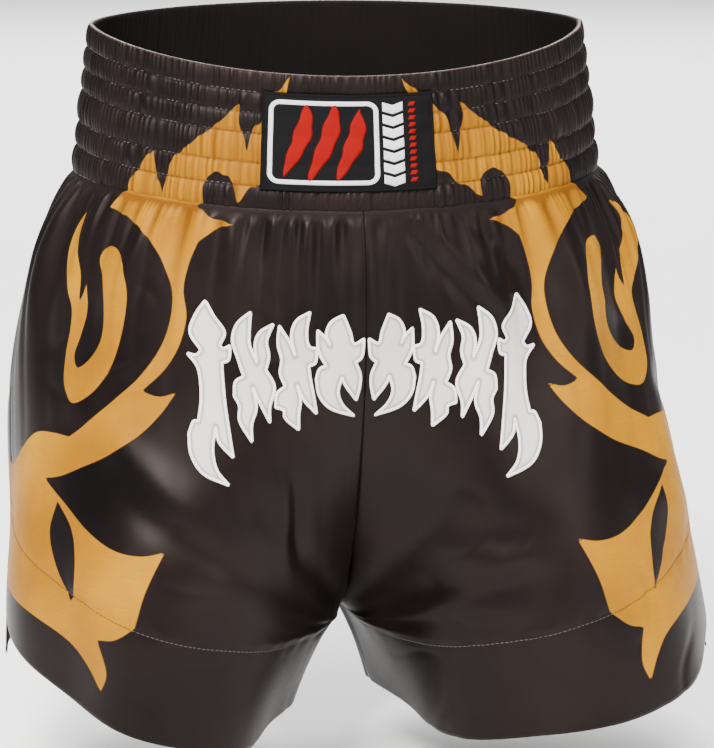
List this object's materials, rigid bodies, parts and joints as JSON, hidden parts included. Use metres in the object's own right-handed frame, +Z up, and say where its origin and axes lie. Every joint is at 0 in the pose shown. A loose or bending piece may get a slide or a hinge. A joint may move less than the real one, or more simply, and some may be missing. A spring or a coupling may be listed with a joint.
{
  "type": "boxing shorts",
  "caption": "Loose satin Thai boxing shorts with a wide gathered elastic waistband, front patch, sewn-on white flames, gold flame print, faced hems and side vents.",
  "frame": {"origin": "centre of the waist opening, level with the rim at the two sides", "axes": "+Z up out of the waist opening, +Y towards the wearer's back, +X towards the wearer's left"},
  "size_m": [0.4398, 0.28, 0.4336],
  "materials": {
    "satin_black": "black polyester satin with a warm brown sheen and a gold flame print",
    "satin_facing": "inside face of black satin",
    "elastic": "woven white elastic",
    "seam_thread": "polyester sewing thread",
    "patch_ground": "tight black woven label satin",
    "patch_white": "white woven label thread",
    "patch_red": "red woven label thread",
    "flame_white": "white satin applique",
    "edging_white": "raised white satin stitch"
  },
  "bodies": {
    "root": {"waistband_casing": "satin_black", "waist_elastic_1": "elastic", "waist_elastic_2": "elastic", "waist_elastic_3": "elastic", "waist_elastic_4": "elastic", "waist_elastic_5": "elastic", "waist_elastic_6": "elastic", "waist_stitch_row_1": "seam_thread", "waist_stitch_row_2": "seam_thread", "waist_stitch_row_3": "seam_thread", "waist_stitch_row_4": "seam_thread", "waist_stitch_row_5": "seam_thread", "front_left_panel": "satin_black", "back_left_panel": "satin_black", "front_right_panel": "satin_black", "back_right_panel": "satin_black", "front_left_hem_facing": "satin_facing", "back_left_hem_facing": "satin_facing", "front_right_hem_facing": "satin_facing", "back_right_hem_facing": "satin_facing", "front_left_hem_stitching": "seam_thread", "back_left_hem_stitching": "seam_thread", "front_right_hem_stitching": "seam_thread", "back_right_hem_stitching": "seam_thread", "patch_base": "patch_ground", "patch_frame": "patch_white", "patch_emblem_bar_1": "patch_red", "patch_emblem_bar_2": "patch_red", "patch_emblem_bar_3": "patch_red", "patch_white_column": "patch_white", "patch_red_column": "patch_red", "flame_inner_left": "flame_white", "flame_second_left": "flame_white", "flame_third_left": "flame_white", "flame_outer_left": "flame_white", "flame_inner_right": "flame_white", "flame_second_right": "flame_white", "flame_third_right": "flame_white", "flame_outer_right": "flame_white", "flame_inner_left_edging": "edging_white", "flame_second_left_edging": "edging_white", "flame_third_left_edging": "edging_white", "flame_outer_left_edging": "edging_white", "flame_inner_right_edging": "edging_white", "flame_second_right_edging": "edging_white", "flame_third_right_edging": "edging_white", "flame_outer_right_edging": "edging_white"}
  },
  "joints": []
}
